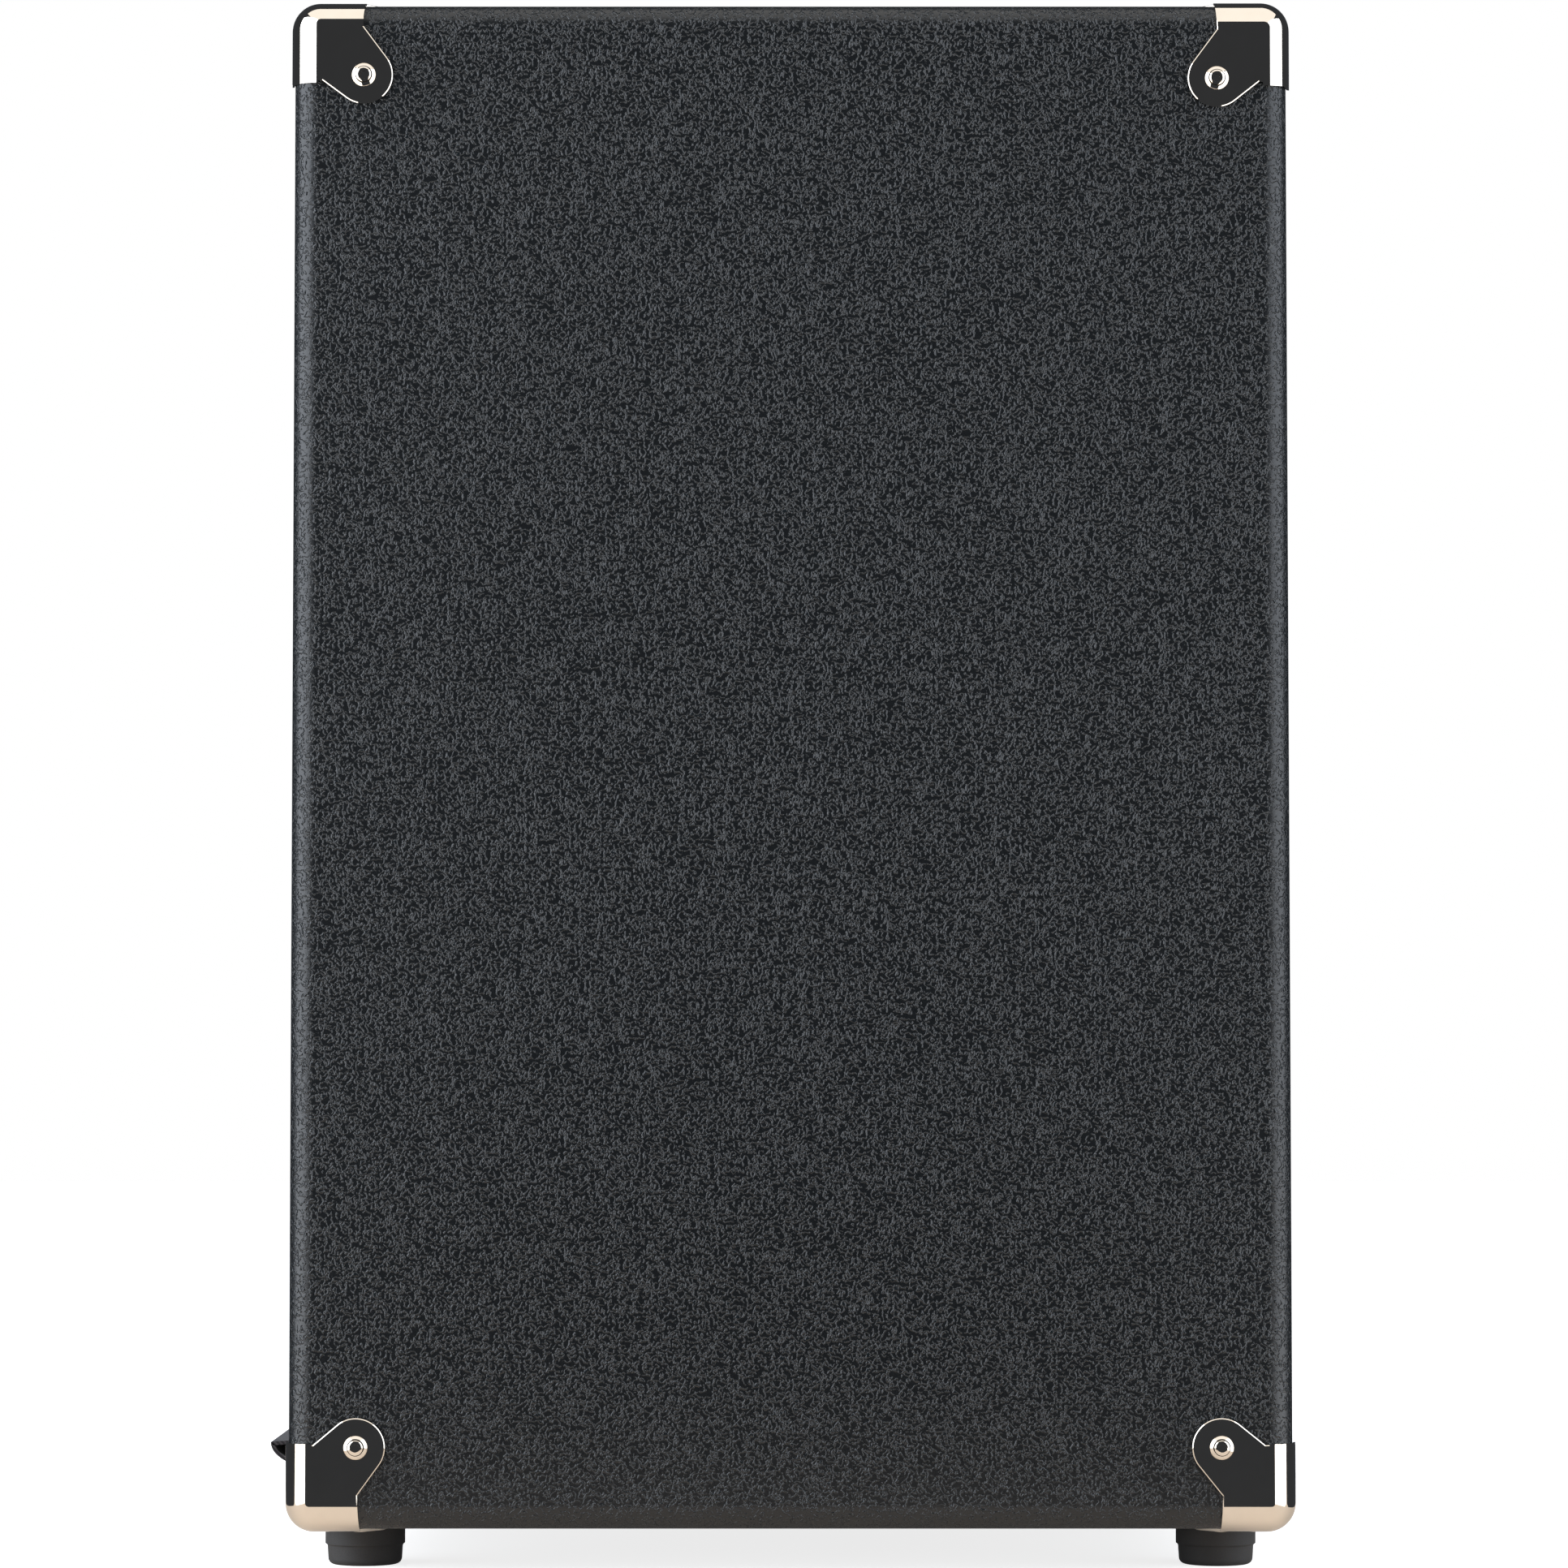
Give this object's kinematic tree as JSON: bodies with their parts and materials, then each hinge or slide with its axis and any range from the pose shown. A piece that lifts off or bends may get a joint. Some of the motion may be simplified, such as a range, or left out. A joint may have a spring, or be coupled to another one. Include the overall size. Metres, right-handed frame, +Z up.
{
  "type": "bass combo amplifier",
  "caption": "Upright combo cabinet with a large woofer, a horn, rear ports, a recessed control panel, metal corner protectors, a strap handle and a pull-off cloth grille.",
  "frame": {"origin": "on the floor under the middle of the whole plan", "axes": "+Z up, +X to the right seen from the front, -Y towards the player, out of the grille"},
  "size_m": [0.533, 0.4234, 0.6448],
  "materials": {
    "black_vinyl": "plywood under a black vinyl covering with a coarse grain",
    "black_paint": "plywood with matt black paint",
    "black_rubber": "matt moulded rubber",
    "nickel_plate": "polished nickel plate on pressed steel",
    "grey_steel": "zinc plated steel sheet",
    "brushed_aluminium": "brushed along its length",
    "black_aluminium": "black anodised extrusion",
    "black_plastic": "fine moulded grain",
    "grille_cloth": "woven black and grey grille cloth",
    "black_webbing": "woven nylon webbing with fine diagonal ribs",
    "cone_paper": "pressed paper pulp",
    "surround_foam": "matt foam rubber",
    "spider_cloth": "resin treated cloth",
    "ferrite": "fired ferrite between plated steel plates",
    "circuit_board": "solder mask over glass fibre",
    "transformer_tape": "polyester tape over copper and iron",
    "lamp_lens": "clear red lens"
  },
  "bodies": {
    "cabinet": {"cabinet_side_left": "black_vinyl", "cabinet_side_right": "black_vinyl", "cabinet_top": "black_vinyl", "cabinet_bottom": "black_vinyl", "amp_shelf": "black_vinyl", "back_panel": "black_vinyl", "baffle_board": "black_paint", "foot_front_left": "black_rubber", "foot_front_right": "black_rubber", "foot_back_left": "black_rubber", "foot_back_right": "black_rubber", "corner_front_top_left": "nickel_plate", "corner_front_top_right": "nickel_plate", "corner_front_bottom_left": "nickel_plate", "corner_front_bottom_right": "nickel_plate", "corner_back_top_left": "nickel_plate", "corner_back_top_right": "nickel_plate", "corner_back_bottom_left": "nickel_plate", "corner_back_bottom_right": "nickel_plate", "handle_cap_left": "nickel_plate", "handle_cap_right": "nickel_plate", "line_out_socket": "nickel_plate", "amp_chassis": "grey_steel", "woofer_frame": "grey_steel", "horn_driver": "grey_steel", "control_panel": "brushed_aluminium", "heat_sink": "black_aluminium", "port_tube_left": "black_plastic", "port_tube_right": "black_plastic", "horn_flare": "black_plastic", "input_jack": "black_plastic", "headphone_jack": "black_plastic", "speaker_out_jack": "black_plastic", "mains_inlet": "black_plastic", "power_switch_frame": "black_plastic", "woofer_surround": "surround_foam", "woofer_spider": "spider_cloth", "woofer_magnet": "ferrite", "preamp_board": "circuit_board", "power_board": "circuit_board", "crossover_board": "circuit_board", "mains_transformer": "transformer_tape", "power_lamp": "lamp_lens"},
    "grille": {"grille_frame": "black_paint", "grille_cloth": "grille_cloth", "grille_pull_tab": "black_webbing"},
    "handle_strap": {"handle_strap": "black_rubber"},
    "woofer_cone": {"woofer_cone": "cone_paper"},
    "power_rocker": {"power_rocker": "black_plastic"},
    "knob_gain": {"knob_gain": "black_plastic"},
    "knob_drive": {"knob_drive": "black_plastic"},
    "knob_bass": {"knob_bass": "black_plastic"},
    "knob_low_mid": {"knob_low_mid": "black_plastic"},
    "knob_high_mid": {"knob_high_mid": "black_plastic"},
    "knob_treble": {"knob_treble": "black_plastic"},
    "knob_compressor": {"knob_compressor": "black_plastic"},
    "knob_master": {"knob_master": "black_plastic"},
    "pad_button": {"pad_button": "black_plastic"},
    "mute_button": {"mute_button": "black_plastic"},
    "bright_button": {"bright_button": "black_plastic"}
  },
  "joints": [
    {"name": "gain_turn", "type": "hinge", "parent": "cabinet", "child": "knob_gain", "pos_m": [-0.159, -0.1608, 0.559], "axis": [0, 1, 0], "range_deg": [-150, 150]},
    {"name": "drive_turn", "type": "hinge", "parent": "cabinet", "child": "knob_drive", "pos_m": [-0.11357, -0.1608, 0.559], "axis": [0, 1, 0], "range_deg": [-150, 150]},
    {"name": "bass_turn", "type": "hinge", "parent": "cabinet", "child": "knob_bass", "pos_m": [-0.06814, -0.1608, 0.559], "axis": [0, 1, 0], "range_deg": [-150, 150]},
    {"name": "low_mid_turn", "type": "hinge", "parent": "cabinet", "child": "knob_low_mid", "pos_m": [-0.02271, -0.1608, 0.559], "axis": [0, 1, 0], "range_deg": [-150, 150]},
    {"name": "high_mid_turn", "type": "hinge", "parent": "cabinet", "child": "knob_high_mid", "pos_m": [0.02271, -0.1608, 0.559], "axis": [0, 1, 0], "range_deg": [-150, 150]},
    {"name": "treble_turn", "type": "hinge", "parent": "cabinet", "child": "knob_treble", "pos_m": [0.06814, -0.1608, 0.559], "axis": [0, 1, 0], "range_deg": [-150, 150]},
    {"name": "compressor_turn", "type": "hinge", "parent": "cabinet", "child": "knob_compressor", "pos_m": [0.11357, -0.1608, 0.559], "axis": [0, 1, 0], "range_deg": [-150, 150]},
    {"name": "master_turn", "type": "hinge", "parent": "cabinet", "child": "knob_master", "pos_m": [0.159, -0.1608, 0.559], "axis": [0, 1, 0], "range_deg": [-150, 150]},
    {"name": "pad_press", "type": "slide", "parent": "cabinet", "child": "pad_button", "axis": [0, 1, 0], "range_m": [0, 0.0025], "stiffness_N_per_m": 400},
    {"name": "mute_press", "type": "slide", "parent": "cabinet", "child": "mute_button", "axis": [0, 1, 0], "range_m": [0, 0.0025], "stiffness_N_per_m": 400},
    {"name": "bright_press", "type": "slide", "parent": "cabinet", "child": "bright_button", "axis": [0, 1, 0], "range_m": [0, 0.0025], "stiffness_N_per_m": 400},
    {"name": "power_rock", "type": "hinge", "parent": "cabinet", "child": "power_rocker", "pos_m": [0.221, -0.1624, 0.559], "axis": [1, 0, 0], "range_deg": [0, 16]},
    {"name": "grille_pull", "type": "slide", "parent": "cabinet", "child": "grille", "axis": [0, -1, 0], "range_m": [0, 0.06]},
    {"name": "woofer_travel", "type": "slide", "parent": "cabinet", "child": "woofer_cone", "axis": [0, 1, 0], "range_m": [-0.005, 0.005], "stiffness_N_per_m": 5000, "deforming": ["woofer_surround", "woofer_spider"]},
    {"name": "handle_lift", "type": "slide", "parent": "cabinet", "child": "handle_strap", "axis": [0, 0, 1], "range_m": [0, 0.014], "deforming": ["handle_strap"]}
  ]
}
